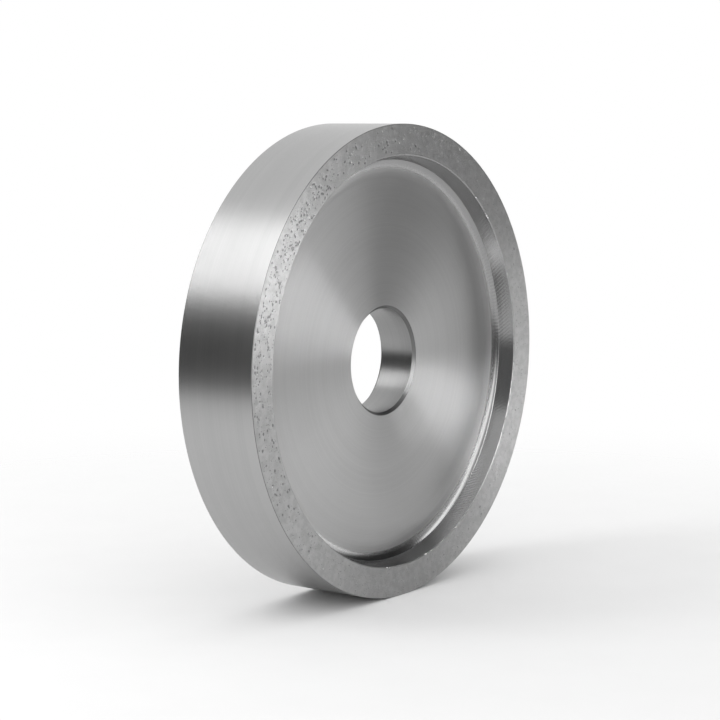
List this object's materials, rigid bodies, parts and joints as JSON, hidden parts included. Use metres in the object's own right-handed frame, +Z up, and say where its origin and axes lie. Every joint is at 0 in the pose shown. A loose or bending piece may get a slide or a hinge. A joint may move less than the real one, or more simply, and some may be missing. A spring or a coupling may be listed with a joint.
{
  "type": "diamond grinding wheel",
  "caption": "Steel-bodied face-grinding wheel with a continuous metal-bond diamond rim, a recess on each side and a plain chamfered arbor bore.",
  "frame": {"origin": "centre of the wheel: on the bore axis, midway between the working face and the back rim", "axes": "+Y along the bore axis, from the working face to the back; +Z up with the wheel standing on its rim"},
  "size_m": [0.1, 0.019, 0.1],
  "materials": {
    "turned_steel": "finely turned and ground bare steel, concentric tool marks",
    "bare_bond": "sintered metal bond without grit, ground flush with the steel",
    "diamond_bond": "sintered metal bond with fine diamond grit, matt and speckled on the working face"
  },
  "bodies": {
    "root": {"steel_body": "turned_steel", "backing_ring": "bare_bond", "diamond_ring": "diamond_bond"}
  },
  "joints": []
}
